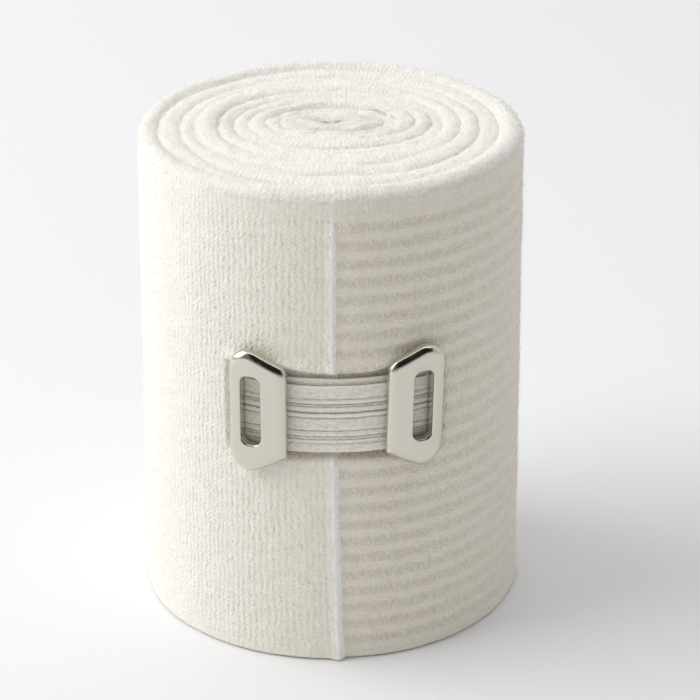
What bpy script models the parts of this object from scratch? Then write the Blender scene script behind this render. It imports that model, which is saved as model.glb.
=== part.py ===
"""Elastic crepe bandage, wound into a roll and held with a two-plate stretch clip.

Metres, +Z up.  The roll stands on its end: its axis is the Z axis, the floor is Z = 0, and
the free end of the bandage and the clip are on the -Y side.  Angles run counter-clockwise
seen from above, which is also the way the bandage is wound outward.
"""
import math

import bmesh
import bpy

# ---- roll ----
ROLL_HEIGHT = 0.0800            # width of the bandage
SEAM_ANGLE = -90.0              # where the free end finishes, degrees
FIRST_TURN = 7.68               # turns between the inner start and the free end
WALL_TAPER = 0.0007             # the roll is this much wider in radius at the floor
TOP_ROUND = 0.0016              # rounding of the outer top rim
FOOT_ROUND = 0.0010             # rounding of the outer bottom rim
RIB_PITCH = 0.00295
RIB_DEPTH = 0.00030
RIB_COUNT = 25
RIB_FOOT = 0.0020               # height of the lowest rib
END_RIDGE = 0.00045             # the cut end stands this proud
END_FLARE = 0.0006              # and sticks out this much more at the floor

# Outer face of the bandage, by turns back from the free end.
WINDING = (
    # turns_back, radius
    (0.00, 0.03105), (0.10, 0.03095), (0.25, 0.03085), (0.50, 0.03080), (0.75, 0.03090),
    (0.93, 0.03065), (1.00, 0.03030), (1.04, 0.02910), (1.09, 0.02800), (1.25, 0.02715),
    (1.50, 0.02705), (1.75, 0.02660), (2.00, 0.02600), (2.25, 0.02375), (2.75, 0.02325),
    (3.00, 0.02250), (3.25, 0.02130), (3.75, 0.02055), (4.25, 0.01840), (4.75, 0.01785),
    (5.25, 0.01580), (5.75, 0.01535), (6.25, 0.01330), (6.75, 0.01280), (7.25, 0.01090),
    (7.75, 0.01030), (8.25, 0.00850), (8.75, 0.00780),
)

# Columns of points round one turn, in degrees after the free end.
COLUMN_SECTORS = (
    # from_deg, to_deg, columns
    (0.0, 42.0, 10), (42.0, 318.0, 29), (318.0, 357.0, 9), (357.0, 360.0, 2),
)

PIT_X, PIT_Y = -0.0015, 0.0022  # dark hollow where the winding starts
PIT_DEPTH = 0.0062

# ---- clip ----
CLIP_ANGLE = -87.97             # middle of the clip, degrees
CLIP_HEIGHT = 0.0445
GAP = 0.0003                    # left between neighbouring pieces

STRAP_IN = 0.0299
STRAP_LAYER = 0.0006            # one of the strap's two layers
STRAP_HALF_ANGLE = 28.0
STRAP_FRONT = (0.03725, 0.04860)   # bottom and top edge of the front layer
STRAP_BACK = (0.03820, 0.04960)    # the back layer sits a little higher
STRAP_COLUMNS = 26
STRAP_RIBS = (
    # place across the width from the top edge, half width, height
    (0.24, 0.00016, 0.00007), (0.345, 0.00018, 0.00008), (0.44, 0.00032, 0.00010),
    (0.64, 0.00018, 0.00008), (0.73, 0.00018, 0.00008), (0.82, 0.00016, 0.00007),
)

PLATE_IN = STRAP_IN + 2.0 * STRAP_LAYER + GAP
PLATE_OUT = PLATE_IN + 0.0019
PLATE_INNER_ANGLE = 13.75       # from the middle of the clip to a plate's inner edge
PLATE_RIGHT_LIFT = 0.0007
PLATE_RIGHT_TILT = -1.6         # degrees
# Corners of a plate: distance outward from its inner edge, height, corner radius.
PLATE_CORNERS = (
    (0.0, -0.00715, 0.00050), (0.0, 0.00705, 0.00240),
    (0.00975, 0.01105, 0.00320), (0.00975, -0.01300, 0.00365),
)
SLOT_FROM, SLOT_TO = 0.00415, 0.00742
SLOT_HALF_HEIGHT = 0.00575
SLOT_LIFT = -0.0003
SLOT_ROUND = 0.00120
# Bullnose of the plate's rim and lip of its slot: inset from the outline, depth behind the front.
RIM_PROFILE = (
    (0.00030, 0.00190), (0.00000, 0.00155), (0.00002, 0.00095), (0.00022, 0.00045),
    (0.00060, 0.00015), (0.00110, 0.00002),
)
LIP_PROFILE = (
    (0.00120, 0.00002), (0.00075, -0.00012), (0.00030, -0.00005), (0.00003, 0.00030),
    (0.00000, 0.00150), (0.00025, 0.00190),
)


def smooth(edge0, edge1, value):
    """Soft step from 0 at edge0 to 1 at edge1."""
    t = min(1.0, max(0.0, (value - edge0) / (edge1 - edge0)))
    return t * t * (3.0 - 2.0 * t)


def at_angle(radius, degrees, height):
    turn = math.radians(degrees)
    return (radius * math.cos(turn), radius * math.sin(turn), height)


def winding_radius(turns_back):
    """Radius of the bandage's outer face, so many turns back from the free end."""
    rows = WINDING
    for (t0, r0), (t1, r1) in zip(rows, rows[1:]):
        if turns_back <= t1:
            part = (turns_back - t0) / (t1 - t0)
            return r0 + (r1 - r0) * part
    return rows[-1][1]


def crown_drop(turns_back):
    """How far a turn's rounded edge lies under the full height."""
    return (0.00028 - 0.00022 * math.sin(2.1 * turns_back + 0.6)
            + 0.00010 * math.sin(5.3 * turns_back))


def groove_drop(turns_back):
    """Depth of the groove outside a turn, shallow where the end layer lies flat."""
    wave = 0.00115 + 0.00035 * math.sin(2.0 * math.pi * (turns_back - 0.35))
    return wave * (1.0 - 0.55 * smooth(0.22, 0.0, abs(turns_back - 1.0)))


def seam_shift(height):
    """The free end leans: degrees to the right of straight at this height."""
    part = height / ROLL_HEIGHT
    return math.degrees((0.0012 - 0.0030 * part + 0.0022 * part * part) / 0.0309)


def clip_place(degrees, height):
    """Distance round the wall from the clip's middle, and height from its middle."""
    turn = (degrees - CLIP_ANGLE + 180.0) % 360.0 - 180.0
    return math.radians(turn) * 0.0310, height - CLIP_HEIGHT


def wall_radius(turns_back, degrees, height):
    """Outer face of the roll: ribs, cut end and the place pressed in by the clip."""
    radius = winding_radius(turns_back)
    radius += WALL_TAPER * (0.45 - height / ROLL_HEIGHT) * 0.9
    rib = (height - RIB_FOOT) / RIB_PITCH
    ripple_zone = smooth(0.14, 0.08, turns_back)
    radius += RIB_DEPTH * 0.5 * math.cos(2.0 * math.pi * rib) * (1.0 - 0.6 * ripple_zone)
    if turns_back < 0.006:
        proud = 1.0 if turns_back > 0.001 else 0.45
        radius += END_RIDGE * proud + END_FLARE * smooth(0.012, 0.0, height)
    along, up = clip_place(degrees, height)
    strap = (smooth(0.0215, 0.0187, abs(along))
             * smooth(0.0096, 0.0071, abs(up + 0.0010)))
    pressed = STRAP_IN - (0.00045 if turns_back < 0.9 else 0.00070)
    return radius + (pressed - radius) * strap


def column_angles():
    """Angles of the columns of points over one turn, starting at the free end."""
    angles = []
    for start, end, count in COLUMN_SECTORS:
        angles += [start + (end - start) * k / count for k in range(count)]
    return angles


def wall_heights():
    """Heights of the rows of points up the wall, two to a rib."""
    rows = [FOOT_ROUND]
    rows += [RIB_FOOT + RIB_PITCH * 0.5 * k for k in range(2 * RIB_COUNT)]
    rows.append(ROLL_HEIGHT - 0.0035)
    return rows


def build_roll():
    """The wound bandage as one closed body: spiral top and foot, ribbed wall, free end."""
    mesh = bmesh.new()
    columns = column_angles()
    per_turn = len(columns)
    total = int(round(FIRST_TURN * per_turn))
    first = -total
    lean_heights = (0.0, ROLL_HEIGHT)

    def place(step):
        """Turns back from the free end and the angle of a step."""
        turn, column = divmod(step, per_turn)
        after = 360.0 * turn + columns[column]
        return -after / 360.0, after

    def lean(step, height):
        if step >= -2 * per_turn:
            near = smooth(30.0, 0.0, min(place(step)[1] % 360.0, -place(step)[1] % 360.0))
            return seam_shift(height) * near
        return 0.0

    def point(step, radius, height):
        after = place(step)[1]
        return mesh.verts.new(at_angle(radius, SEAM_ANGLE + after + lean(step, height), height))

    # Grooves between the turns, top and bottom, shared by the turns on both sides.
    groove_top, groove_foot = {}, {}
    for step in range(first - per_turn, 1):
        back = place(step)[0]
        radius = winding_radius(back)
        if step >= -per_turn:
            top = ROLL_HEIGHT - TOP_ROUND
            groove_top[step] = point(step, wall_at(step, place, top), top)
            groove_foot[step] = point(step, wall_at(step, place, FOOT_ROUND), FOOT_ROUND)
        else:
            top = ROLL_HEIGHT - crown_drop(back) - groove_drop(back)
            groove_top[step] = point(step, radius, top)
            groove_foot[step] = point(step, radius, 0.0007)

    # The rounded edge of every turn on top, and its flat land underneath.
    edges = {}
    for step in range(first, 1):
        back = place(step)[0]
        inner, outer = winding_radius(back + 1.0), winding_radius(back)
        width = outer - inner
        crown = ROLL_HEIGHT - crown_drop(back)
        rim = 1.0 if step >= -per_turn else 0.0
        shoulder = min(0.00035, 0.2 * width)
        edges[step] = (
            point(step, inner + 0.22 * width, crown - shoulder),
            point(step, inner + 0.50 * width, crown),
            point(step, inner + (0.80 - 0.02 * rim) * width, crown - shoulder * (1.0 + 0.2 * rim)),
            point(step, outer - min(0.0006 + 0.0002 * rim, 0.28 * width), 0.0),
            point(step, inner + min(0.0005, 0.25 * width), 0.0),
        )

    # Wall points below the outermost turn.
    heights = wall_heights()
    wall = {}
    for step in range(-per_turn, 1):
        wall[step] = [groove_foot[step]]
        wall[step] += [point(step, wall_at(step, place, z), z) for z in heights[1:]]
        wall[step].append(groove_top[step])

    def quad(a, b, c, d):
        mesh.faces.new((a, b, c))
        mesh.faces.new((a, c, d))

    for step in range(first, 0):
        near = (groove_top[step - per_turn],) + edges[step][:3] + (groove_top[step],)
        far = (groove_top[step + 1 - per_turn],) + edges[step + 1][:3] + (groove_top[step + 1],)
        for k in range(4):
            quad(near[k], near[k + 1], far[k + 1], far[k])
        near = (groove_foot[step],) + edges[step][3:] + (groove_foot[step - per_turn],)
        far = (groove_foot[step + 1],) + edges[step + 1][3:] + (groove_foot[step + 1 - per_turn],)
        for k in range(3):
            quad(near[k], near[k + 1], far[k + 1], far[k])
    for step in range(-per_turn, 0):
        for low in range(len(wall[step]) - 1):
            quad(wall[step][low], wall[step + 1][low], wall[step + 1][low + 1], wall[step][low + 1])

    # The cut end of the bandage, from the layer below it out to its own face.
    below, above = wall[-per_turn], wall[0]
    for low in range(len(below) - 1):
        quad(above[low], below[low], below[low + 1], above[low + 1])
    cap = (below[-1],) + edges[0][:3] + (above[-1],)
    foot = (above[0],) + edges[0][3:] + (below[0],)
    for ring in (cap, foot):
        for k in range(1, len(ring) - 1):
            mesh.faces.new((ring[0], ring[k + 1], ring[k]))

    # The core: the start of the winding is folded round a hollow on top, flat underneath.
    outline = [groove_top[step] for step in range(first - per_turn, first + 1)]
    outline += [edges[first][2], edges[first][1], edges[first][0]]
    ring = outline
    for share, lift in ((0.80, 0.0013), (0.55, 0.0009), (0.33, -0.0024), (0.15, -PIT_DEPTH)):
        inner_ring = []
        for vert in outline:
            x = PIT_X + (vert.co.x - PIT_X) * share
            y = PIT_Y + (vert.co.y - PIT_Y) * share
            turn = math.atan2(y - PIT_Y, x - PIT_X)
            fold = 0.0007 * math.sin(2.0 * turn + 0.8) + 0.0005 * math.sin(3.0 * turn - 1.0)
            z = ROLL_HEIGHT - 0.0016 + lift + fold * (1.0 - abs(share - 0.6))
            inner_ring.append(mesh.verts.new((x, y, min(z, ROLL_HEIGHT - 0.0002))))
        join_rings(mesh, ring, inner_ring)
        ring = inner_ring
    close_ring(mesh, ring, (PIT_X, PIT_Y, ROLL_HEIGHT - 0.0016 - PIT_DEPTH - 0.0003))

    outline = [groove_foot[step] for step in range(first - per_turn, first + 1)]
    outline += [edges[first][3], edges[first][4]]
    spots = [math.degrees(math.atan2(v.co.y, v.co.x)) for v in outline[:per_turn]]
    last_gap = (spots[0] - spots[-1]) % 360.0
    spots += [spots[-1] + last_gap * k / 4.0 for k in (1, 2, 3)]
    ring = [mesh.verts.new(at_angle(0.0072, spot, 0.0)) for spot in spots]
    join_rings(mesh, list(reversed(outline)), list(reversed(ring)))
    close_ring(mesh, list(reversed(ring)), (0.0, 0.0, 0.0))
    return mesh


def wall_at(step, place, height):
    back, after = place(step)
    return wall_radius(back, SEAM_ANGLE + after, height)


def join_rings(mesh, outer, inner):
    """Faces between two rings of the same number of points, the outer one first."""
    count = len(outer)
    for k in range(count):
        j = (k + 1) % count
        mesh.faces.new((outer[k], outer[j], inner[j]))
        mesh.faces.new((outer[k], inner[j], inner[k]))


def close_ring(mesh, ring, centre):
    middle = mesh.verts.new(centre)
    for k, vert in enumerate(ring):
        mesh.faces.new((vert, ring[(k + 1) % len(ring)], middle))


def strap_section():
    """Cross-section of the doubled strap as (radius, height), counter-clockwise."""
    bottom, top = STRAP_FRONT
    back_bottom, back_top = STRAP_BACK
    middle, front = STRAP_IN + STRAP_LAYER, STRAP_IN + 2.0 * STRAP_LAYER
    soft = 0.00015
    face = front - 0.0001
    section = [(STRAP_IN, back_top - soft), (STRAP_IN, back_bottom + soft),
               (STRAP_IN + soft, back_bottom), (middle, back_bottom), (middle, bottom + soft),
               (middle + soft, bottom), (face - soft, bottom), (face, bottom + soft)]
    width = top - bottom
    for place, half, high in reversed(STRAP_RIBS):
        z = top - place * width
        section += [(face, z - half * 1.5), (face + high, z - half * 0.5),
                    (face + high, z + half * 0.5), (face, z + half * 1.5)]
    section += [(face, top - soft), (face - soft, top), (middle + soft, top),
                (middle, top + soft), (middle, back_top - soft), (middle - soft, back_top),
                (STRAP_IN + soft, back_top)]
    return section


def build_strap():
    """Elastic strap of the clip, two layers lying on each other, bent round the roll."""
    mesh = bmesh.new()
    section = strap_section()
    rings = []
    for k in range(STRAP_COLUMNS + 1):
        turn = CLIP_ANGLE + STRAP_HALF_ANGLE * (2.0 * k / STRAP_COLUMNS - 1.0)
        sag = -0.00012 * math.cos(math.pi * (k / STRAP_COLUMNS - 0.5))
        rings.append([mesh.verts.new(at_angle(r, turn, z + sag)) for r, z in section])
    for near, far in zip(rings, rings[1:]):
        join_rings(mesh, near, far)
    mesh.faces.new(rings[0])
    mesh.faces.new(list(reversed(rings[-1])))
    return mesh


def rounded_loop(corners, inset, arc_steps=6, side_steps=(5, 3, 5, 3)):
    """Points round a four-cornered outline moved inward, with its corners rounded."""
    count = len(corners)
    lines = []
    for k in range(count):
        x0, z0, _ = corners[k]
        x1, z1, _ = corners[(k + 1) % count]
        length = math.hypot(x1 - x0, z1 - z0)
        dx, dz = (x1 - x0) / length, (z1 - z0) / length
        lines.append((x0 + dz * inset, z0 - dx * inset, dx, dz))
    arcs = []
    for k in range(count):
        ax, az, adx, adz = lines[k - 1]
        bx, bz, bdx, bdz = lines[k]
        cross = adx * bdz - adz * bdx
        t = ((bx - ax) * bdz - (bz - az) * bdx) / cross
        px, pz = ax + adx * t, az + adz * t
        radius = max(corners[k][2] - inset, 0.00022)
        turn = math.acos(max(-1.0, min(1.0, adx * bdx + adz * bdz)))
        reach = radius * math.tan(turn / 2.0)
        start = (px - adx * reach, pz - adz * reach)
        centre = (start[0] + adz * radius, start[1] - adx * radius)
        first = math.atan2(start[1] - centre[1], start[0] - centre[0])
        arcs.append([(centre[0] + radius * math.cos(first - turn * j / arc_steps),
                      centre[1] + radius * math.sin(first - turn * j / arc_steps))
                     for j in range(arc_steps + 1)])
    loop = []
    for k in range(count):
        loop += arcs[k]
        x0, z0 = arcs[k][-1]
        x1, z1 = arcs[(k + 1) % count][0]
        steps = side_steps[k]
        loop += [(x0 + (x1 - x0) * j / steps, z0 + (z1 - z0) * j / steps) for j in range(1, steps)]
    return loop


def build_plate(side):
    """Polished end plate of the clip with its upright slot; side is -1 left, +1 right."""
    mesh = bmesh.new()
    slot = ((SLOT_FROM, -SLOT_HALF_HEIGHT + SLOT_LIFT, SLOT_ROUND),
            (SLOT_FROM, SLOT_HALF_HEIGHT + SLOT_LIFT, SLOT_ROUND),
            (SLOT_TO, SLOT_HALF_HEIGHT + SLOT_LIFT, SLOT_ROUND),
            (SLOT_TO, -SLOT_HALF_HEIGHT + SLOT_LIFT, SLOT_ROUND))
    lift = PLATE_RIGHT_LIFT if side > 0 else 0.0
    tilt = math.radians(PLATE_RIGHT_TILT) if side > 0 else 0.0

    def ring(loop, depth):
        verts = []
        for out, up in loop:
            out, up = (out * math.cos(tilt) - up * math.sin(tilt),
                       out * math.sin(tilt) + up * math.cos(tilt))
            turn = CLIP_ANGLE + side * (PLATE_INNER_ANGLE + math.degrees(out / PLATE_OUT))
            verts.append(mesh.verts.new(
                at_angle(PLATE_OUT - depth, turn, CLIP_HEIGHT + lift + up)))
        return verts

    rings = [ring(rounded_loop(PLATE_CORNERS, inset), depth) for inset, depth in RIM_PROFILE]
    rings += [ring(rounded_loop(slot, -out), depth) for out, depth in LIP_PROFILE]
    rings.append(rings[0])
    for near, far in zip(rings, rings[1:]):
        join_rings(mesh, near, far)
    return mesh


def add_node(name, mesh, colour, roughness, metallic=0.0):
    """Turn a closed mesh into a named object with a material of its own."""
    bmesh.ops.recalc_face_normals(mesh, faces=mesh.faces)
    data = bpy.data.meshes.new(name)
    mesh.to_mesh(data)
    mesh.free()
    node = bpy.data.objects.new(name, data)
    bpy.context.scene.collection.objects.link(node)
    material = bpy.data.materials.new(name + "_material")
    material.use_nodes = True
    shader = material.node_tree.nodes["Principled BSDF"]
    shader.inputs["Base Color"].default_value = (*colour, 1.0)
    shader.inputs["Roughness"].default_value = roughness
    shader.inputs["Metallic"].default_value = metallic
    data.materials.append(material)
    return node


for old in list(bpy.data.objects):
    bpy.data.objects.remove(old, do_unlink=True)

add_node("bandage_roll", build_roll(), (0.83, 0.81, 0.76), 0.9)
add_node("clip_strap", build_strap(), (0.56, 0.54, 0.50), 0.8)
add_node("clip_plate_left", build_plate(-1), (0.72, 0.70, 0.65), 0.2, 1.0)
add_node("clip_plate_right", build_plate(1), (0.72, 0.70, 0.65), 0.2, 1.0)
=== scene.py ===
"""Elastic crepe bandage wound into a roll, with its stretch clip, on a pale surface."""
import math

import bpy
import numpy as np
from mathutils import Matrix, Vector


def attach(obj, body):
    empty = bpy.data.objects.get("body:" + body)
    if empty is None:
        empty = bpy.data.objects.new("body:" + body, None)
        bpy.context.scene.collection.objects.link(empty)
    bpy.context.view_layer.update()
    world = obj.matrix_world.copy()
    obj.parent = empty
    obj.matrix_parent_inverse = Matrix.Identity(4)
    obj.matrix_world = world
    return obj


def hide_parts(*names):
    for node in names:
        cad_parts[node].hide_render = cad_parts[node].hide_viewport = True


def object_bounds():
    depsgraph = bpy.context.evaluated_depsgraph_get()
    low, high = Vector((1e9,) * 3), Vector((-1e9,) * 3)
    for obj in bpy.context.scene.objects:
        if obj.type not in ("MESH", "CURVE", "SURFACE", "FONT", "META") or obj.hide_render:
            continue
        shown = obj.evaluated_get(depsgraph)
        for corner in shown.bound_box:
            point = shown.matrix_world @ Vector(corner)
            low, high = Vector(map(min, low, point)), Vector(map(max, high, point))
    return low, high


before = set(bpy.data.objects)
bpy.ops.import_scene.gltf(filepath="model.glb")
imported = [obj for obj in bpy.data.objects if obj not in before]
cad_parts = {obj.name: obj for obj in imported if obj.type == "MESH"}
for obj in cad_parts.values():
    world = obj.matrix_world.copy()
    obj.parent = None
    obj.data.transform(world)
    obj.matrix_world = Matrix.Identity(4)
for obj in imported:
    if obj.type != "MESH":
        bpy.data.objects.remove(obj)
cad_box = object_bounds()
scene = bpy.context.scene

# ---------------------------------------------------------------- camera
# A long lens about 0.47 m away, looking down 25 degrees at the side with the clip.
camera_data = bpy.data.cameras.new("camera")
camera_data.lens = 141.15
camera_data.sensor_width = 36.0
camera_data.clip_start = 0.01
camera = bpy.data.objects.new("camera", camera_data)
camera.location = (0.003078, -0.40813, 0.23055)
camera.rotation_euler = (math.radians(64.997), 0.0, 0.0)
scene.collection.objects.link(camera)
scene.camera = camera

# ---------------------------------------------------------------- surface and light
# A seamless matt white surface.  One large soft light stands to the left, 40 degrees up, in a
# pale room that is brighter behind the roll.  Polished metal alone shows three panels: a dark
# one over the camera's right shoulder, a dim one over its left, and a bright one overhead.
FLOOR_WHITE = (0.872, 0.874, 0.880, 1.0)
ROOM_WHITE = (0.985, 0.99, 1.0, 1.0)
ROOM_IN_FRONT, ROOM_BEHIND = 0.40, 0.88


def new_material(name):
    """A node material, its tree, its shader, and a helper that adds and wires nodes."""
    material = bpy.data.materials.new(name)
    material.use_nodes = True
    tree = material.node_tree
    shader = tree.nodes["Principled BSDF"]

    def add(kind, values=(), links=(), **settings):
        node = tree.nodes.new(kind)
        for key, value in settings.items():
            setattr(node, key, value)
        for key, value in dict(values).items():
            node.inputs[key].default_value = value
        for key, source in dict(links).items():
            tree.links.new(source, node.inputs[key])
        return node

    return material, tree, shader, add


floor_material, tree, shader, add = new_material("floor_white")
shader.inputs["Base Color"].default_value = FLOOR_WHITE
shader.inputs["Roughness"].default_value = 0.7
shader.inputs["Specular IOR Level"].default_value = 0.2
floor_mesh = bpy.data.meshes.new("floor")
floor_mesh.from_pydata([(-3, -3, 0), (3, -3, 0), (3, 3, 0), (-3, 3, 0)], [], [(0, 1, 2, 3)])
floor_mesh.materials.append(floor_material)
floor = bpy.data.objects.new("floor", floor_mesh)
scene.collection.objects.link(floor)

key_data = bpy.data.lights.new("key", "AREA")
key_data.shape = "SQUARE"
key_data.size = 1.20
key_data.energy = 12.7
key_data.color = (1.0, 0.996, 0.99)
key = bpy.data.objects.new("key", key_data)
key.location = (-0.98, 0.02, 0.82)
key.rotation_euler = (0.0, math.radians(-51.0), math.radians(-1.0))
scene.collection.objects.link(key)

world = bpy.data.worlds.new("room")
scene.world = world
world.use_nodes = True
tree = world.node_tree
background = tree.nodes["Background"]
coords = tree.nodes.new("ShaderNodeTexCoord")
facing = tree.nodes.new("ShaderNodeSeparateXYZ")
tree.links.new(coords.outputs["Generated"], facing.inputs[0])
fade = tree.nodes.new("ShaderNodeMapRange")
fade.inputs["From Min"].default_value = -1.0
fade.inputs["From Max"].default_value = 1.0
fade.inputs["To Min"].default_value = ROOM_IN_FRONT
fade.inputs["To Max"].default_value = ROOM_BEHIND
tree.links.new(facing.outputs["Y"], fade.inputs["Value"])
tree.links.new(fade.outputs["Result"], background.inputs["Strength"])
background.inputs["Color"].default_value = ROOM_WHITE


def card(name, light, corners):
    """A plain panel out of view that only polished metal shows, dark or lit."""
    mesh = bpy.data.meshes.new(name)
    mesh.from_pydata(corners, [], [(0, 1, 2, 3)])
    material, _, shader, _ = new_material(name)
    shader.inputs["Base Color"].default_value = (0.0, 0.0, 0.0, 1.0)
    shader.inputs["Specular IOR Level"].default_value = 0.0
    shader.inputs["Emission Color"].default_value = (1.0, 0.98, 0.94, 1.0)
    shader.inputs["Emission Strength"].default_value = light
    mesh.materials.append(material)
    panel = bpy.data.objects.new(name, mesh)
    panel.visible_camera = panel.visible_diffuse = panel.visible_shadow = False
    scene.collection.objects.link(panel)


card("dark_front", 0.012, [(-0.35, -1.0, 0.28), (1.9, -1.0, 0.28),
                           (1.9, -0.15, 1.4), (-0.35, -0.15, 1.4)])
card("dim_left", 0.15, [(-1.6, -0.8, 0.28), (-0.36, -1.0, 0.28),
                        (-0.36, -0.15, 1.4), (-1.6, -0.1, 1.2)])
card("bright_top", 1.8, [(-0.8, -0.14, 1.4), (1.2, -0.14, 1.4),
                         (1.2, 0.10, 1.3), (-0.8, 0.10, 1.3)])

scene.view_settings.view_transform = "Standard"
scene.view_settings.look = "None"

# ---------------------------------------------------------------- bandage: how it is wound
# One strip of thick elastic crepe knit, 80 mm wide and about 1.1 m long, wound outward
# counter-clockwise into a roll 62 mm across.  Its free end finishes in front, under the clip.
# Lengths here are in millimetres; a turn is counted back from the free end.
MM = 0.001
HEIGHT = round(cad_box[1][2] / MM, 1)
RIB_PITCH, RIB_TOP, RIB_RELIEF = 2.95, 2.0, 0.045
RIPPLE_PITCH, RIPPLE_RELIEF = 0.98, 0.014
CLOTH_LUMPS = (
    # length along and across the strip, relief, seed
    (8.0, 6.5, 0.09, 9), (2.6, 2.1, 0.05, 10), (0.62, 0.55, 0.035, 11),
)
SEATED = 0.40  # how far each turn is pressed into the one inside it
WINDING = np.array([
    # turns back from the free end, radius of the outer face
    (-0.50, 30.85), (0.00, 30.85), (0.03, 30.95), (0.25, 30.85), (0.50, 30.80), (0.75, 30.90),
    (0.93, 30.75), (1.02, 30.60), (1.05, 29.10), (1.09, 28.00), (1.25, 27.15), (1.50, 27.05),
    (1.75, 26.60), (2.00, 26.00), (2.25, 23.75), (2.75, 23.25), (3.00, 22.50), (3.25, 21.30),
    (3.75, 20.55), (4.25, 18.40), (4.75, 17.85), (5.25, 15.80), (5.75, 15.35), (6.25, 13.30),
    (6.75, 12.80), (7.25, 10.90), (7.75, 10.30), (8.25, 8.50), (8.75, 7.60), (9.25, 5.90),
    (9.75, 4.40), (10.25, 2.80), (10.75, 1.40), (11.25, 0.50), (11.50, 0.30),
])


def smooth(edge0, edge1, value):
    """Soft step from 0 at edge0 to 1 at edge1."""
    t = np.clip((value - edge0) / (edge1 - edge0), 0.0, 1.0)
    return t * t * (3.0 - 2.0 * t)


TURN_STEP = 0.002
turn_steps = np.arange(-0.4, 11.5, TURN_STEP)
turn_radii = np.interp(turn_steps, WINDING[:, 0], WINDING[:, 1])
soften = np.hanning(17)
padded = np.pad(turn_radii, len(soften) // 2, mode="edge")
turn_radii = np.convolve(padded, soften / soften.sum(), "valid")
turn_lengths = np.concatenate(([0.0], np.cumsum(turn_radii[1:] * 2.0 * math.pi * TURN_STEP)))
turn_lengths -= np.interp(0.0, turn_steps, turn_lengths)


def outer_radius(turns):
    """Radius of the cloth's outer face, before its relief."""
    return np.interp(turns, turn_steps, turn_radii)


def strip_length(turns):
    """Distance along the cloth from its free end."""
    return np.interp(turns, turn_steps, turn_lengths)


def heading(turns):
    """Direction from the roll's middle, in degrees: the free end is in front, at -90."""
    return -90.0 - 360.0 * turns


def taper(up):
    """The roll is a little wider at its foot than at its top."""
    return 0.63 * (0.45 - up / HEIGHT)


def grain(x, y, seed):
    """Smooth random field between -1 and 1, with one lump to a unit."""
    lattice = np.random.default_rng(seed).uniform(-1.0, 1.0, (61, 61))
    xi, yi = np.floor(x).astype(int), np.floor(y).astype(int)
    fx, fy = x - xi, y - yi
    fx, fy = fx * fx * (3.0 - 2.0 * fx), fy * fy * (3.0 - 2.0 * fy)
    x0, x1, y0, y1 = xi % 61, (xi + 1) % 61, yi % 61, (yi + 1) % 61
    low = lattice[x0, y0] * (1.0 - fx) + lattice[x1, y0] * fx
    high = lattice[x0, y1] * (1.0 - fx) + lattice[x1, y1] * fx
    return low * (1.0 - fy) + high * fy


SEAM_AT = strip_length(1.0)


def knit(along, up):
    """Relief of the knit in mm at a place on the cloth.

    Lengthwise ribs lie between recessed bands.  Near the free end the cloth is relaxed and
    crinkles into upright ripples instead, and the selvedges are plain."""
    rib_up = up + 0.16 * grain(along / 4.0, up / 2.0, 5)
    rib = np.cos(2.0 * math.pi * (rib_up - RIB_TOP) / RIB_PITCH)
    wave = along + 0.30 * grain(along / 4.0, up / 5.0, 6) + 0.12 * grain(along / 1.2, up / 0.9, 7)
    ripple = np.cos(2.0 * math.pi * wave / RIPPLE_PITCH)
    ripple = ripple * (0.6 + 0.6 * grain(along / 1.6, up / 1.5, 8))
    relaxed = smooth(36.0, 20.0, along) * smooth(0.4, 2.0, along)
    selvedges = smooth(73.5, 77.0, up) + smooth(1.6, 0.4, up)
    plain = np.clip(selvedges + smooth(3.2, 0.8, np.abs(along - SEAM_AT)), 0.0, 1.0)
    stretched = RIB_RELIEF * rib * smooth(50.0, 85.0, along)
    height = (stretched + RIPPLE_RELIEF * (ripple + rib) * relaxed) * (1.0 - plain)
    for long, tall, relief, seed in CLOTH_LUMPS:
        height = height + relief * grain(along / long, up / tall, seed)
    return height


CLIP_ANGLE = -87.97
CLIP_HEIGHT = 44.5
CLIP_RADIUS = 31.0
STRAP_IN = 29.9
DENT_TOP, DENT_FOOT, DENT_HALF = 49.9, 36.9, 18.6
BULGE, BULGE_UP, BULGE_SPREAD = 0.55, 1.1, 0.8  # cloth pushed up above the strap
RIDGE, RIDGE_IN, RIDGE_SPREAD = 0.26, 1.05, 0.68  # the free end's rolled edge


def wall_radius(turns, up, along):
    """Outer face of the roll before its knit, and how free of the clip it is there: taper, the
    rolled-over free end, and the dent under the clip."""
    radius = outer_radius(turns) + taper(up)
    ridge = RIDGE * np.exp(-(((along - RIDGE_IN) / RIDGE_SPREAD) ** 2))
    ridge = ridge * (1.0 + 0.3 * grain(up / 9.0, up * 0.0, 21))
    foot_flare = 0.3 * smooth(9.0, 0.0, up) * smooth(3.5, 0.6, along)
    radius = radius + ridge * smooth(76.5, 73.0, up) + foot_flare
    near_top = smooth(73.0, 77.0, up)
    under = outer_radius(1.0) + taper(up) - SEATED * (1.0 - near_top)
    radius = under + (radius - under) * np.clip(along / 0.85, 0.0, 1.0) ** 0.55
    radius = radius + (under - radius) * near_top * smooth(16.0, 2.0, along)
    turn = (heading(turns) - CLIP_ANGLE + 180.0) % 360.0 - 180.0
    across = np.abs(np.radians(turn) * CLIP_RADIUS)
    above = up - DENT_TOP - 0.5 * smooth(3.0, 9.0, across)
    below = DENT_FOOT - up
    dent = smooth(0.8, 0.0, np.maximum(above, 0.0)) * smooth(1.6, 0.0, np.maximum(below, 0.0))
    dent = dent * smooth(DENT_HALF, DENT_HALF - 2.6, across)
    bulge = np.exp(-(((above - BULGE_UP) / BULGE_SPREAD) ** 2)) * smooth(20.0, 16.0, across)
    radius = radius + BULGE * bulge
    pressed = STRAP_IN - np.where(turns < 0.9, 0.40, 0.52)
    return radius * (1.0 - dent) + pressed * dent, 1.0 - dent


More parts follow.
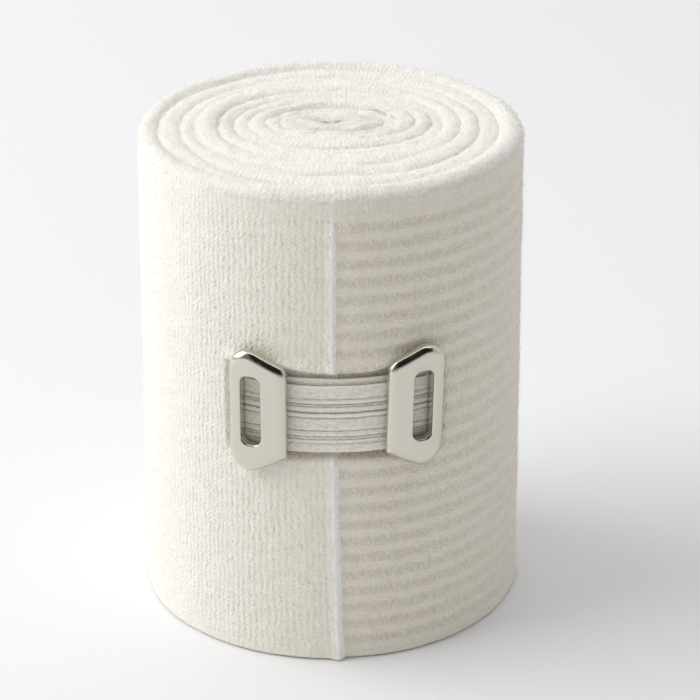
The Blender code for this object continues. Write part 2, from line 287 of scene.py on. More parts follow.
def seam_lean(up):
    """How far the free end leans to the right of straight, in degrees."""
    part = up / HEIGHT
    return np.degrees((2.45 - 3.0 * part + 2.2 * part * part) / 30.9)


def lay_down(radius, turns, up, along):
    """Places across the roll: its start is squeezed flat, and its free end leans."""
    leaning = smooth(16.0, 0.0, along) + smooth(16.0, 0.0, np.abs(along - SEAM_AT))
    angle = np.radians(heading(turns) + seam_lean(up) * leaning)
    flat = smooth(26.0, 7.0, radius)
    x = radius * np.cos(angle) + 0.6 * flat
    y = radius * (1.0 - 0.34 * flat) * np.sin(angle) + 1.6 * flat
    return x, y


def hollow_depth(x, y):
    """Depth of the hollow at the roll's start, the dimple beside it and the fold before it."""
    core = 1.7 * np.exp(-((x + 1.6) ** 2 / 7.5 + (y - 2.6) ** 2 / 3.2))
    dimple = 0.7 * np.exp(-((x + 7.6) ** 2 / 2.4 + (y - 4.6) ** 2 / 1.8))
    fold = 0.6 * np.exp(-((y + 4.6 - 0.045 * (x - 1.0) ** 2) ** 2 / 0.45))
    return core + dimple + fold * smooth(5.5, 3.5, np.abs(x - 6.0))


FACE, TOP, BACK, FOOT = range(4)
WALL_CREST = 1.9
PLAIN_CLOTH = 90.0  # a place across the cloth past its selvedge, for faces that don't show


def wind(name, turns, rows, edge_steps, wall=True):
    """A stretch of the wound strip as one closed piece: its outer face with the knit, its rounded
    top and bottom edges, and its plain inner face.  turns are its columns, and rows the shares of
    the way up its outer face that have points."""
    turns = np.asarray(turns)[:, None]
    along = strip_length(turns)
    past_seam = along - SEAM_AT
    outer = outer_radius(turns)
    inner = outer_radius(turns + 1.0) - SEATED
    if wall:
        deepest = outer_radius(2.0) - SEATED
        eased = deepest + (inner - deepest) * smooth(5.0, 38.0, along)
        inner = np.where(turns < 0.5, eased, inner)
    else:
        covered = (outer - outer_radius(2.0)) * smooth(38.0, 5.0, past_seam)
        outer = outer + SEATED - np.minimum(covered, 2.1)
    middle, half = 0.5 * (outer + inner), 0.5 * (outer - inner)

    # How high the crest stands at each column, and where the face ends below it.
    left_back = (0.5 + 0.5 * np.cos(np.radians(heading(turns) - 165.0))) ** 1.5
    crown = HEIGHT - 0.28 + 0.22 * np.sin(2.1 * turns + 0.6) - 0.10 * np.sin(5.3 * turns)
    calm = smooth(3.0, 14.0, along) * smooth(3.0, 14.0, np.abs(past_seam))
    crown = crown + 0.20 * calm * grain(along / 9.0, along * 0.0, 31)
    if wall:
        high = np.minimum(WALL_CREST, 0.55 + 1.1 * half)
        face_top = crown - WALL_CREST
        low = np.full_like(turns, 0.4)
    else:
        high = 0.95 + 0.15 * left_back + 0.30 * grain(along / 14.0, along * 0.0, 32)
        face_top = crown - (high + 1.5 * smooth(30.0, 6.0, past_seam))
        low = np.full_like(turns, 1.3)

    # The ring of points at each column: up the face, over the top, down the back, under the foot.
    foot_steps = edge_steps // 2 + 1
    over = math.pi * np.arange(1, edge_steps) / edge_steps
    under = math.pi + math.pi * np.arange(1, foot_steps) / foot_steps
    up_face = low + np.asarray(rows) * (face_top - low)
    up_top = face_top + high * np.sin(over)
    up_back = low + (face_top - low) * np.array([0.999, 0.75, 0.5, 0.25, 0.001])
    up_foot = low + low * np.sin(under)
    counts = [block.shape[1] for block in (up_face, up_top, up_back, up_foot)]
    up = np.concatenate([up_face, up_top, up_back, up_foot], 1)
    radius = np.concatenate([np.broadcast_to(outer, up_face.shape), middle + half * np.cos(over),
                             np.broadcast_to(inner, up_back.shape), middle + half * np.cos(under)], 1)
    part = np.broadcast_to(np.repeat([FACE, TOP, BACK, FOOT], counts), up.shape)
    push_out = np.concatenate([np.ones(counts[FACE]), np.cos(over),
                               -np.ones(counts[BACK]), np.cos(under)])
    push_up = np.concatenate([np.zeros(counts[FACE]), np.sin(over),
                              np.zeros(counts[BACK]), np.sin(under)])

    # The same points as places on the flat cloth.
    crossing = (half + high) * 0.85
    cloth_up = np.concatenate([up_face, face_top + crossing * over, np.full_like(up_back, PLAIN_CLOTH),
                               -crossing * (2.0 * math.pi - under)], 1)
    turns = np.broadcast_to(turns, up.shape)
    along = np.broadcast_to(along, up.shape)

    # The clip's dent and the roll's outline, then the relief of the knit.
    across = (radius - middle) / half
    outline, free = wall_radius(turns, up, along)
    if wall:
        ease = np.where(part == FACE, 1.0, np.clip(across, 0.0, 1.0))
        radius = np.where(part != BACK, radius + (outline - outer_radius(turns)) * ease, radius)
    relief = knit(along, cloth_up)
    fluff = 0.09 * grain(along / 1.6, cloth_up / 1.3 + turns * 7.0, 41)
    fluff = fluff + 0.07 * grain(along / 0.8, cloth_up / 0.7 + turns * 5.0, 42)
    move = np.where(part == FACE, relief * free - 0.06, 0.5 * relief + fluff)
    move = np.where(part == BACK, 0.0, move)
    if not wall:
        hidden = (part == FACE) & (up < HEIGHT - 6.0)
        move = np.where(hidden, np.where(turns < 1.3, -1.0, -0.1), move)
    radius = radius + push_out * move
    up = np.maximum(up + push_up * move, 0.0)

    # The soft start of the roll, level but for its hollow and its lumps.
    near_core = smooth(9.5, 5.0, radius)
    up = np.where(part == TOP, up + near_core * 0.55 * (crown - up), up)
    x, y = lay_down(radius, turns, up, along)
    hollow = hollow_depth(x, y)
    lumps = 0.35 * grain(x / 2.3, y / 1.7, 33) * smooth(13.0, 8.0, radius)
    up = np.where(part == TOP, up - hollow + lumps, up)

    # Tones: painted shade in the grooves between turns, in the hollow and round the clip's dent; the
    # plain edges; and a painted highlight on the lit crests.
    between = smooth(0.50, 0.98, np.abs(across)) * (0.20 + 0.25 * left_back)
    between = between + 0.8 * np.clip(hollow, 0.0, 1.0)
    between = np.where(wall & (across > 0.0), 0.0, between) * smooth(1.02, 1.1, turns + wall)
    # Painted shade: the cloth pressed in round the clip is coloured darker at the dent's edges.
    shade_round_clip = 3.2 * free * (1.0 - free) * wall
    groove_shade_share = np.where(part == TOP, between, np.where(part == FACE, shade_round_clip, 0.0))
    edge = np.where(part == FACE, smooth(74.5, 77.5, cloth_up) + smooth(2.0, 0.5, cloth_up), 1.0)
    # Painted highlight: the crests of the rolled top edges are marked to be coloured whiter.
    crest = (part == TOP) * smooth(0.95, 0.6, across)
    tone = np.stack([np.clip(groove_shade_share, 0.0, 1.0), edge, crest, np.ones_like(radius)], -1)
    points = np.stack([x, y, up], -1) * MM
    uv = np.stack([along / 100.0, cloth_up / 100.0], -1)
    return skin(name, points, uv, tone)


def skin(name, points, uv, tone):
    """Closed mesh over a grid of points, columns by rings, with place and tone at each point."""
    columns, ring = points.shape[:2]
    index = np.arange(columns * ring).reshape(columns, ring)
    one, following = index[:-1], index[1:]
    quads = np.stack([one, np.roll(one, -1, 1), np.roll(following, -1, 1), following], -1)
    faces = quads.reshape(-1, 4).tolist() + [index[0][::-1].tolist(), index[-1].tolist()]
    mesh = bpy.data.meshes.new(name)
    mesh.from_pydata(points.reshape(-1, 3).tolist(), [], faces)
    mesh.polygons.foreach_set("use_smooth", np.ones(len(mesh.polygons), dtype=bool))
    place = mesh.uv_layers.new(name="cloth")
    corner = np.empty(len(mesh.loops), dtype=np.int32)
    mesh.loops.foreach_get("vertex_index", corner)
    place.data.foreach_set("uv", uv.reshape(-1, 2)[corner].ravel())
    shade = mesh.color_attributes.new("tone", "FLOAT_COLOR", "POINT")
    shade.data.foreach_set("color", tone.reshape(-1, 4).astype(np.float32).ravel())
    mesh.update()
    piece = bpy.data.objects.new(name, mesh)
    scene.collection.objects.link(piece)
    return piece


def dress_cloth(piece):
    """Give a stretch of the bandage its cloth, between two turns, and seat it on the roll."""
    piece.data.materials.append(cloth)
    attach(piece, "root")
    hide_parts("bandage_roll")


# The cloth: warm white fluffy cotton.  The recessed bands hold a row of small oval loops, the
# relaxed stretch near the free end is rippled, and radial stitches cross the rolled edges.
STRETCHED_CREAM = (0.875, 0.833, 0.750, 1.0)
RELAXED_AND_CREST_HIGHLIGHT_WHITE = (0.945, 0.932, 0.900, 1.0)
PAST_THREAD = (0.985, 0.972, 0.955)
NEAR_END_WARM_SHADE = (0.968, 0.943, 0.885)
LOOP_SHADE = (0.89, 0.85, 0.785)
GROOVE_SHADE = (0.93, 0.885, 0.81)
YARN_SHADE = (0.93, 0.915, 0.89)
PATCH_SHADE = (0.965, 0.955, 0.935)
LOOP_PITCH, LOOP_LONG, LOOP_TALL = 1.05, 0.36, 0.56
# Spacing of dots, rows, ripples and stitches, in radians to a millimetre.
DOTS, ROWS, RIPPLES, STITCHES = 10.1, 8.52, 6.9, 7.2
cloth, tree, shader, add = new_material("bandage_cloth")


def calc(operation, *values, clamp=False):
    """One sum in the material: values are numbers or sockets."""
    node = add("ShaderNodeMath", operation=operation, use_clamp=clamp)
    for k, value in enumerate(values):
        if isinstance(value, (int, float)):
            node.inputs[k].default_value = value
        else:
            tree.links.new(value, node.inputs[k])
    return node.outputs[0]


def step(value, start, stop):
    """Soft step in the material, from 0 at start to 1 at stop."""
    node = add("ShaderNodeMapRange", {"From Min": start, "From Max": stop}, {"Value": value},
               interpolation_type="SMOOTHSTEP")
    return node.outputs["Result"]


def speckle(scale, seed, detail=1.0):
    """Noise about 0, between -1 and 1, over the cloth; scale gives lumps per mm each way."""
    place = add("ShaderNodeVectorMath", {1: scale}, {0: cloth_mm}, operation="MULTIPLY")
    node = add("ShaderNodeTexNoise", {"Scale": 1.0, "Detail": detail, "W": seed},
               {"Vector": place.outputs[0]}, noise_dimensions="4D")
    return calc("MULTIPLY_ADD", node.outputs["Fac"], 3.2, -1.6)


def wave_of(value, spacing):
    """A cosine along value, with its spacing in radians to a millimetre."""
    return calc("COSINE", calc("MULTIPLY", value, spacing))


def blend(first, second, share):
    """first where share is 0, second where it is 1."""
    return calc("MULTIPLY_ADD", calc("SUBTRACT", second, first), share, first)


def tint(base, share, colour):
    """base multiplied by colour where share is 1."""
    node = add("ShaderNodeMix", data_type="RGBA", blend_type="MULTIPLY")
    node.inputs[7].default_value = (*colour, 1.0)
    tree.links.new(share, node.inputs[0])
    tree.links.new(base, node.inputs[6])
    return node.outputs[2]


shade = add("ShaderNodeVertexColor", layer_name="tone")
tone = add("ShaderNodeSeparateColor", links={"Color": shade.outputs["Color"]})
groove_shade_share, edge, crest_highlight = tone.outputs["Red"], tone.outputs["Green"], tone.outputs["Blue"]
uv = add("ShaderNodeUVMap", uv_map="cloth")
cloth_mm = add("ShaderNodeVectorMath", {1: (100.0, 100.0, 0.0)}, {0: uv.outputs["UV"]},
               operation="MULTIPLY").outputs[0]
place = add("ShaderNodeSeparateXYZ", links={"Vector": cloth_mm})
along, up = place.outputs["X"], place.outputs["Y"]
relaxed = step(along, 37.0, 20.0)
patch = speckle((0.45, 0.55, 1.0), 1.0)
strength = calc("MULTIPLY_ADD", speckle((0.9, 0.7, 1.0), 2.0), 0.5, 0.75, clamp=True)

# Oval loops, each a raised ring, along the middle of every recessed band.
row_along = calc("MULTIPLY_ADD", speckle((0.6, 0.33, 1.0), 3.0), 0.30, along)
row_up = calc("MULTIPLY_ADD", speckle((0.5, 0.5, 1.0), 4.0), 0.20, up)
in_loop = calc("SUBTRACT", calc("FRACT", calc("DIVIDE", row_along, LOOP_PITCH)), 0.5)
loop_along = calc("MULTIPLY", in_loop, LOOP_PITCH / LOOP_LONG)
band = calc("FRACT", calc("DIVIDE", calc("SUBTRACT", row_up, RIB_TOP), RIB_PITCH))
band_up = calc("MULTIPLY", calc("SUBTRACT", band, 0.5), RIB_PITCH)
loop_up = calc("DIVIDE", band_up, LOOP_TALL)
squares = calc("ADD", calc("MULTIPLY", loop_along, loop_along), calc("MULTIPLY", loop_up, loop_up))
span = calc("SQRT", squares)
ring = step(calc("ABSOLUTE", calc("SUBTRACT", span, 1.0)), 0.48, 0.0)
in_band = step(calc("ABSOLUTE", band_up), 1.05, 0.55)
hollow = calc("MULTIPLY", in_band, calc("MULTIPLY_ADD", ring, -1.0, 1.0))
begins = calc("MULTIPLY", step(along, 45.0, 90.0), 0.4)
clear = calc("MULTIPLY_ADD", step(along, 150.0, 180.0), 0.6, begins)
hollow = calc("MULTIPLY", hollow, clear)
dots = calc("MULTIPLY", wave_of(row_along, DOTS), wave_of(row_up, ROWS))
stretched_height = calc("MULTIPLY_ADD", dots, 0.030, calc("MULTIPLY", hollow, -0.10))

# Upright ripples where the cloth is relaxed, broken up and wavering.
wave = calc("MULTIPLY_ADD", speckle((0.25, 0.25, 1.0), 5.0), 0.35, along)
wave = calc("MULTIPLY_ADD", speckle((0.9, 1.2, 1.0), 6.0), 0.14, wave)
crest = calc("MULTIPLY", wave_of(wave, RIPPLES), strength)
pinch = step(speckle((1.2, 0.75, 1.0), 7.0), 0.05, -0.7)
dip = calc("MULTIPLY", step(crest, 0.1, -0.8), pinch)
beads = calc("MULTIPLY", crest, wave_of(row_up, ROWS))
relaxed_height = calc("MULTIPLY_ADD", crest, 0.042, calc("MULTIPLY", dip, -0.05))
relaxed_height = calc("MULTIPLY_ADD", beads, 0.035, relaxed_height)

# Radial stitches over the rolled edges, and yarn and fibre over everything.
stitch_along = calc("MULTIPLY_ADD", speckle((0.8, 0.8, 1.0), 8.0), 0.22, along)
stitch = calc("MULTIPLY", wave_of(stitch_along, STITCHES), strength)
yarn = speckle((2.1, 1.6, 1.0), 9.0, 2.0)
fibre = speckle((5.0, 4.2, 1.0), 10.0, 2.0)
face_height = blend(stretched_height, relaxed_height, relaxed)
height = blend(face_height, calc("MULTIPLY", stitch, 0.030), edge)
height = calc("MULTIPLY_ADD", yarn, 0.085, height)
height = calc("MULTIPLY_ADD", fibre, 0.042, height)
# Painted shade: the loop holes and the dips between ripples are coloured darker as well as sunk by the
# bump.
dark = blend(calc("MULTIPLY", hollow, strength), calc("MULTIPLY", dip, 0.8), relaxed)
dark = calc("MULTIPLY", dark, calc("SUBTRACT", 1.0, edge))

# Colour: cream where the cloth is stretched, white where it is relaxed, and a white thread at the free
# end itself. Painted light on top of that: a whiter painted highlight on the crests, painted warm shade
# near the free end, and painted warm shade in every hollow, groove, loop hole and low yarn.
ground = add("ShaderNodeMix", data_type="RGBA")
ground.inputs[6].default_value = STRETCHED_CREAM
ground.inputs[7].default_value = RELAXED_AND_CREST_HIGHLIGHT_WHITE
# Relaxed cloth is white, and so is the painted highlight on the top crests.
white = calc("MAXIMUM", step(along, 80.0, 50.0), crest_highlight)
tree.links.new(white, ground.inputs[0])
past_thread = step(along, 1.2, 2.2)
# Painted warm shade: the cloth near the free end, apart from its crests, is tinted warmer and a little
# darker.
near_end_warm_shade = calc("MULTIPLY", past_thread, calc("SUBTRACT", 1.0, crest_highlight))
near_end_warm_shade = calc("MULTIPLY", near_end_warm_shade, step(along, 34.0, 4.0))
colour = tint(ground.outputs[2], past_thread, PAST_THREAD)
colour = tint(colour, near_end_warm_shade, NEAR_END_WARM_SHADE)
colour = tint(colour, dark, LOOP_SHADE)
colour = tint(colour, groove_shade_share, GROOVE_SHADE)
# Painted shade where the yarn lies low.
colour = tint(colour, step(yarn, 0.1, -0.9), YARN_SHADE)
colour = tint(colour, step(patch, 0.3, -0.8), PATCH_SHADE)
tree.links.new(colour, shader.inputs["Base Color"])
shader.inputs["Roughness"].default_value = 0.95
shader.inputs["Specular IOR Level"].default_value = 0.1
shader.inputs["Sheen Weight"].default_value = 0.2
shader.inputs["Sheen Roughness"].default_value = 0.6
bump = add("ShaderNodeBump", {"Strength": 1.0, "Distance": MM}, {"Height": height})
tree.links.new(bump.outputs["Normal"], shader.inputs["Normal"])

# ---------------------------------------------------------------- bandage: outer turn
# The last turn of the strip, 80 mm tall.  The stretch beside the free end and the one right of
# it are the two that show in front; the third goes round the back.  All are one cloth.
FINE_ROWS = np.linspace(0.0, 1.0, 300)
BACK_ROWS = np.linspace(0.0, 1.0, 190)
turn_at_1mm = 1.0 / SEAM_AT
end_turns = np.concatenate([turn_at_1mm * np.array([0.0, 0.03, 0.1, 0.2, 0.35, 0.55, 0.8]),
                            np.linspace(turn_at_1mm * 1.05, 0.30, 225)])
outer_end = wind("bandage_outer_end", end_turns, FINE_ROWS, 16)
outer_right = wind("bandage_outer_right", np.linspace(0.70, 1.006, 236), FINE_ROWS, 16)
outer_back = wind("bandage_outer_back", np.linspace(0.2992, 0.7008, 190), BACK_ROWS, 14)
dress_cloth(outer_end)
dress_cloth(outer_right)
dress_cloth(outer_back)

# ---------------------------------------------------------------- bandage: inner turns
# The rest of the strip, wound inside the outer turn.  Only its plump top and bottom edges show,
# down to the folded start round a small soft hollow.
INNER_ROWS = np.array([0.0, 0.25, 0.6, 0.92, 0.96, 0.98, 1.0])
START_OF_ROLL = 10.48
inner_turns = wind("bandage_inner_turns", np.linspace(1.0, START_OF_ROLL, 2100), INNER_ROWS, 18,
                   wall=False)
dress_cloth(inner_turns)

# ---------------------------------------------------------------- bandage: loose fibres
# Fine cotton fibres that stand out of the cloth everywhere, up to a millimetre long, thickest
# over the rolled top edges.  Each is one slim triangle.
FIBRE_COUNT = 145000
FIBRE_HALF_WIDTH = 0.024
FIBRE_ROOT = 0.08
LARGEST_FACE = 4e-6  # square metres; larger ones are closed ends and hidden walls, left bare
wool, tree, shader, add = new_material("bandage_fibre")
shader.inputs["Base Color"].default_value = (0.955, 0.943, 0.915, 1.0)
shader.inputs["Roughness"].default_value = 1.0
shader.inputs["Specular IOR Level"].default_value = 0.1


def fibres(name, sources, longest, choose, seed):
    """Thin tapering fibres on those faces of the sources that choose picks."""
    dice = np.random.default_rng(seed)
    centres, normals, areas = [], [], []
    for source in sources:
        polygons = source.data.polygons
        flat = {}
        for key, size in (("center", 3), ("normal", 3), ("area", 1)):
            flat[key] = np.empty(len(polygons) * size, dtype=np.float32)
            polygons.foreach_get(key, flat[key])
        centre, normal = flat["center"].reshape(-1, 3), flat["normal"].reshape(-1, 3)
        kept = choose(centre / MM, normal) & (flat["area"] < LARGEST_FACE)
        centres.append(centre[kept])
        normals.append(normal[kept])
        areas.append(flat["area"][kept])
    centre, normal, area = np.concatenate(centres), np.concatenate(normals), np.concatenate(areas)
    pick = dice.choice(len(centre), FIBRE_COUNT, p=area / area.sum())
    scatter = dice.normal(size=(FIBRE_COUNT, 3)) * np.sqrt(area[pick])[:, None] * 0.4
    root = centre[pick] + scatter - normal[pick] * (FIBRE_ROOT * MM)
    way = normal[pick] * 0.7 + dice.normal(size=(FIBRE_COUNT, 3)) * 0.62
    way /= np.linalg.norm(way, axis=1)[:, None]
    length = longest * MM * (0.30 + 0.70 * dice.random((FIBRE_COUNT, 1)) ** 2.5)
    side = np.cross(way, normal[pick] + dice.normal(size=(FIBRE_COUNT, 3)) * 0.25)
    side /= np.linalg.norm(side, axis=1)[:, None]
    broad = side * (FIBRE_HALF_WIDTH * MM)
    points = np.stack([root - broad, root + broad, root + way * length], 1)
    points[..., 2] = np.maximum(points[..., 2], 0.0)
    faces = (np.arange(FIBRE_COUNT)[:, None] * 3 + [0, 1, 2]).tolist()
    mesh = bpy.data.meshes.new(name)
    mesh.from_pydata(points.reshape(-1, 3).tolist(), [], faces)
    mesh.materials.append(wool)
    piece = bpy.data.objects.new(name, mesh)
    piece.visible_shadow = False
    scene.collection.objects.link(piece)
    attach(piece, "root")
    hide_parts("bandage_roll")


def on_wall(place, normal):
    """The outer wall, but for what the strap and the plates cover."""
    x, y, up = place[:, 0], place[:, 1], place[:, 2]
    radius = np.hypot(x, y)
    outward = (x * normal[:, 0] + y * normal[:, 1]) / radius
    turn = np.abs((np.degrees(np.arctan2(y, x)) - CLIP_ANGLE + 180.0) % 360.0 - 180.0)
    strap = (turn < 30.0) & (up > 36.3) & (up < 50.0)
    plates = (turn > 12.0) & (turn < 32.5) & (up > 30.5) & (up < 56.5)
    return (radius > 29.0) & (outward > 0.5) & ~(strap | plates)


def on_top(place, normal):
    """Whatever faces up near the top of the roll."""
    return (place[:, 2] > HEIGHT - 3.5) & (normal[:, 2] > 0.15)


fibres("bandage_fibres_wall", (outer_end, outer_right, outer_back), 0.80, on_wall, 71)
fibres("bandage_fibres_top", (outer_end, outer_right, outer_back, inner_turns), 0.95, on_top, 72)

# ---------------------------------------------------------------- clip strap
# Light grey ribbed elastic 11.4 mm wide, a loop lying flat as two layers of 0.6 mm.  The back
# layer sits about a millimetre higher, so its edge shows above the front one.
STRAP_HALF_ANGLE = 28.0
STRAP_COLUMNS = 300
WEAVE_PITCH, PICK_PITCH = 0.42, 0.30
ELASTIC_PALE = (0.90, 0.865, 0.780, 1.0)
ELASTIC_DARK = (0.33, 0.31, 0.27, 1.0)
# Each stripe's darkening is painted shade: darker on the sunken stripes, lighter on the raised ones.
STRIPES = (
    # place across a layer from its top edge, half width, relief in mm, darkening
    (0.015, 0.012, 0.05, -0.25), (0.20, 0.010, -0.03, 0.35), (0.24, 0.014, 0.09, -0.10),
    (0.275, 0.010, -0.06, 0.55), (0.31, 0.009, -0.05, 0.45), (0.345, 0.014, 0.09, -0.10),
    (0.40, 0.012, -0.07, 0.65), (0.44, 0.022, 0.11, -0.15), (0.48, 0.011, -0.05, 0.45),
    (0.64, 0.014, 0.08, -0.10), (0.67, 0.009, -0.05, 0.45), (0.73, 0.013, 0.08, -0.10),
    (0.76, 0.009, -0.05, 0.45), (0.80, 0.009, -0.05, 0.40), (0.82, 0.013, 0.08, -0.08),
    (0.87, 0.010, -0.03, 0.30), (0.985, 0.012, 0.05, -0.22),
)
STRAP_LAYERS = (
    # name, bottom and top edge, inner and outer radius, rows of points, seed
    ("clip_strap_front", 37.25, 48.60, 30.53, 31.08, 130, 51),
    ("clip_strap_back", 38.20, 49.60, 29.93, 30.47, 70, 61),
)


def strap_layer(bottom, top, inner, outer, rows, seed):
    """Ring-by-ring points of one layer of the strap, its front face ribbed, and its tones."""
    t = np.linspace(-1.0, 1.0, STRAP_COLUMNS)[:, None]
    across = np.linspace(0.0, 1.0, rows)[None, :]
    width = top - bottom
    up_face = top - across * width
    relief = 0.0 * across
    dark = 0.0 * across
    for place, half, high, shade in STRIPES:
        bell = np.exp(-(((across - place) / half) ** 2))
        relief, dark = relief + high * bell, dark + shade * bell
    arc = t * STRAP_HALF_ANGLE * math.pi / 180.0 * CLIP_RADIUS
    waver = 0.05 * grain(arc / 1.2, up_face / 0.8, seed)
    weave = np.cos(2.0 * math.pi * (arc + waver) / WEAVE_PITCH)
    picks = np.cos(2.0 * math.pi * up_face / PICK_PITCH)
    face = outer - 0.12 + 1.2 * relief + 0.010 * weave + 0.010 * picks
    face = face + 0.03 * grain(arc / 3.5, up_face / 2.5, seed + 1)
    from_edge = np.minimum(across, 1.0 - across) * width
    face = face - 0.16 * np.exp(-from_edge / 0.10)
    mottle = 0.12 * grain(arc / 0.5, up_face / 0.15, seed + 2)
    # Painted shade: darker in the sunken stripes and on the low threads; the mottle is the elastic's
    # own uneven tone.
    face_tone = dark + 0.10 - 0.05 * weave - 0.05 * picks + mottle
    up_back = np.array([bottom + 0.12, bottom + 0.5 * width, top - 0.12])[None, :]
    up = np.concatenate([up_face + 0.0 * t, up_back + 0.0 * t], 1)
    radius = np.concatenate([face, np.full((STRAP_COLUMNS, 3), inner)], 1)
    tone = np.concatenate([face_tone, np.full((STRAP_COLUMNS, 3), 0.3)], 1)
    sag = -0.12 * np.cos(t * math.pi / 2.0)
    up = up + sag + 0.05 * grain(t * 9.0, up / 6.0, seed + 3)
    turn = np.radians(CLIP_ANGLE + STRAP_HALF_ANGLE * t) + 0.0 * up
    points = np.stack([radius * np.cos(turn), radius * np.sin(turn), up], -1) * MM
    uv = np.stack([np.broadcast_to(arc, up.shape) / 100.0, up / 100.0], -1)
    blank = np.zeros_like(tone)
    return points, uv, np.stack([tone, blank, blank, blank + 1.0], -1)


elastic, tree, shader, add = new_material("strap_elastic")
tone = add("ShaderNodeVertexColor", layer_name="tone")
split = add("ShaderNodeSeparateColor", links={"Color": tone.outputs["Color"]})
ramp = add("ShaderNodeValToRGB", links={"Fac": split.outputs["Red"]})
ramp.color_ramp.elements[0].position = 0.0
ramp.color_ramp.elements[0].color = ELASTIC_PALE
ramp.color_ramp.elements[1].position = 0.60
ramp.color_ramp.elements[1].color = ELASTIC_DARK
tree.links.new(ramp.outputs["Color"], shader.inputs["Base Color"])
spot = add("ShaderNodeTexCoord")
thread = add("ShaderNodeTexNoise", {"Scale": 4200.0, "Detail": 2.0}, {"Vector": spot.outputs["Object"]})
bump = add("ShaderNodeBump", {"Strength": 0.5, "Distance": 0.00004}, {"Height": thread.outputs["Fac"]})
tree.links.new(bump.outputs["Normal"], shader.inputs["Normal"])
shader.inputs["Roughness"].default_value = 0.75
shader.inputs["Specular IOR Level"].default_value = 0.3
shader.inputs["Sheen Weight"].default_value = 0.15

for name, bottom, top, inner, outer, rows, seed in STRAP_LAYERS:
    layer = skin(name, *strap_layer(bottom, top, inner, outer, rows, seed))
    layer.data.materials.append(elastic)
    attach(layer, "root")
    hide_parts("clip_strap")

# ---------------------------------------------------------------- clip plates
# Polished nickel, 9.8 mm wide and 20.4 mm tall, 1.9 mm thick, bent to the roll.  The rim is
# broadly rounded, the upright slot has a faint soft lip, and the strap shows through it.
NICKEL = (0.675, 0.645, 0.565, 1.0)
PLATE_IN, PLATE_OUT = 31.40, 33.30
PLATE_THICK = PLATE_OUT - PLATE_IN
PLATE_WIDTH = 9.75
PLATE_START = 13.75  # degrees from the middle of the clip to a plate's inner edge
PLATE_CORNERS = (
    # distance outward from the inner edge, height, corner radius
    (0.0, -7.90, 0.50), (0.0, 7.00, 2.40), (PLATE_WIDTH, 11.10, 3.20), (PLATE_WIDTH, -12.35, 3.20),
)
SLOT_CORNERS = ((4.15, -6.05, 1.2), (4.15, 5.45, 1.2), (7.42, 5.45, 1.2), (7.42, -6.05, 1.2))
BOTTOM_BOW = 0.40
RIM_WIDTH, RIM_DEPTH = 1.35, 1.20
LIP_START, LIP_END, LIP_RISE = 0.90, 0.30, 0.05
PLATES = (
    # name, node, side, lift, tilt in degrees
    ("plate_left", "clip_plate_left", -1, 0.0, 0.0),
    ("plate_right", "clip_plate_right", 1, 0.7, -1.6),
)


def rounded_loop(corners, inset, arc_steps=14, side_steps=(18, 12, 18, 12)):
    """Points round a four-cornered outline moved inward, with its corners rounded."""
    lines, arcs, loop = [], [], []
    for k in range(4):
        (x0, z0, _), (x1, z1, _) = corners[k], corners[(k + 1) % 4]
        length = math.hypot(x1 - x0, z1 - z0)
        dx, dz = (x1 - x0) / length, (z1 - z0) / length
        lines.append((x0 + dz * inset, z0 - dx * inset, dx, dz))
    for k in range(4):
        ax, az, adx, adz = lines[k - 1]
        bx, bz, bdx, bdz = lines[k]
        t = ((bx - ax) * bdz - (bz - az) * bdx) / (adx * bdz - adz * bdx)
        radius = max(corners[k][2] - inset, 0.22)
        turn = math.acos(adx * bdx + adz * bdz)
        reach = radius * math.tan(turn / 2.0)
        sx, sz = ax + adx * (t - reach), az + adz * (t - reach)
        cx, cz = sx + adz * radius, sz - adx * radius
        first = math.atan2(sz - cz, sx - cx)
        arcs.append([(cx + radius * math.cos(first - turn * j / arc_steps),
                      cz + radius * math.sin(first - turn * j / arc_steps))
                     for j in range(arc_steps + 1)])
    for k in range(4):
        loop += arcs[k]
        (x0, z0), (x1, z1), steps = arcs[k][-1], arcs[(k + 1) % 4][0], side_steps[k]
        loop += [(x0 + (x1 - x0) * j / steps, z0 + (z1 - z0) * j / steps) for j in range(1, steps)]
    return np.array(loop)


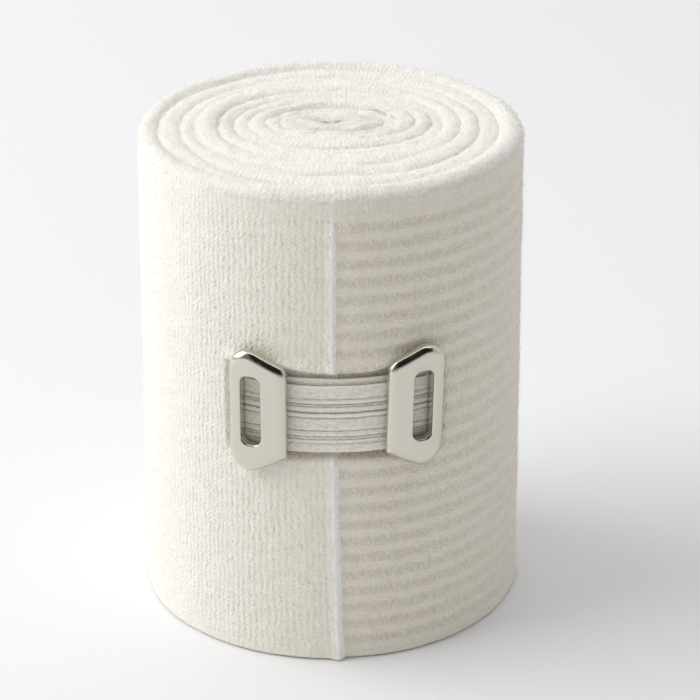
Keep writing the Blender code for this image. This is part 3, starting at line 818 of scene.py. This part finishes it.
def build_plate(name, side, lift, tilt):
    """A plate: rings from the back of its rim, over the front face, to the back of its slot."""
    rings = []

    def ring(loop, depth):
        out, up = loop[:, 0], loop[:, 1]
        bow = BOTTOM_BOW * np.sin(math.pi * np.clip(out / PLATE_WIDTH, 0.0, 1.0))
        up = up - bow * smooth(-6.5, -9.0, up)
        c, s = math.cos(math.radians(tilt)), math.sin(math.radians(tilt))
        out, up = out * c - up * s, out * s + up * c
        turn = np.radians(CLIP_ANGLE + side * (PLATE_START + np.degrees(out / PLATE_OUT)))
        r = PLATE_OUT - depth
        rings.append(np.stack([r * np.cos(turn), r * np.sin(turn), CLIP_HEIGHT + lift + up], -1))

    for inset, forward in ((0.45, 0.0), (0.22, 0.03), (0.06, 0.16), (0.0, 0.36)):
        ring(rounded_loop(PLATE_CORNERS, inset), PLATE_THICK - forward)
    for k in range(13):
        angle = math.pi / 2.0 * k / 12.0
        inset = RIM_WIDTH * (1.0 - math.cos(angle))
        ring(rounded_loop(PLATE_CORNERS, inset), RIM_DEPTH * (1.0 - math.sin(angle)))
    outer_face = rounded_loop(PLATE_CORNERS, RIM_WIDTH)
    slot_foot = rounded_loop(SLOT_CORNERS, -LIP_START)
    for share in np.linspace(0.06, 0.94, 9):
        ring(outer_face * (1.0 - share) + slot_foot * share, 0.0)
    for k in range(9):
        t = k / 8.0
        rise = LIP_RISE * math.sin(math.pi * t * 0.75) ** 2
        ring(rounded_loop(SLOT_CORNERS, -LIP_START + (LIP_START - LIP_END) * t), -rise)
    for k in range(1, 7):
        angle = math.pi / 2.0 * k / 6.0
        inset = -LIP_END * (1.0 - math.sin(angle))
        ring(rounded_loop(SLOT_CORNERS, inset), -0.5 * LIP_RISE + 0.34 * (1.0 - math.cos(angle)))
    ring(rounded_loop(SLOT_CORNERS, 0.0), PLATE_THICK - 0.2)
    ring(rounded_loop(SLOT_CORNERS, -0.2), PLATE_THICK)
    points = np.array(rings) * MM
    columns, count = points.shape[:2]
    one = np.arange(columns * count).reshape(columns, count)
    following = np.roll(one, -1, 0)
    quads = np.stack([one, np.roll(one, -1, 1), np.roll(following, -1, 1), following], -1)
    quads = quads.reshape(-1, 4)
    if side > 0:
        quads = quads[:, ::-1]
    mesh = bpy.data.meshes.new(name)
    mesh.from_pydata(points.reshape(-1, 3).tolist(), [], quads.tolist())
    mesh.polygons.foreach_set("use_smooth", np.ones(len(mesh.polygons), dtype=bool))
    mesh.update()
    piece = bpy.data.objects.new(name, mesh)
    scene.collection.objects.link(piece)
    return piece


nickel, tree, shader, add = new_material("clip_nickel")
spot = add("ShaderNodeTexCoord")
wear = add("ShaderNodeTexNoise", {"Scale": 700.0, "Detail": 4.0}, {"Vector": spot.outputs["Object"]})
rough = add("ShaderNodeMapRange", {"From Min": 0.3, "From Max": 0.7, "To Min": 0.13, "To Max": 0.22},
            {"Value": wear.outputs["Fac"]})
tree.links.new(rough.outputs["Result"], shader.inputs["Roughness"])
shader.inputs["Base Color"].default_value = NICKEL
shader.inputs["Metallic"].default_value = 1.0
bump = add("ShaderNodeBump", {"Strength": 0.25, "Distance": 0.00003}, {"Height": wear.outputs["Fac"]})
tree.links.new(bump.outputs["Normal"], shader.inputs["Normal"])
for name, node, side, lift, tilt in PLATES:
    plate = build_plate(name, side, lift, tilt)
    plate.data.materials.append(nickel)
    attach(plate, "root")
    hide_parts(node)
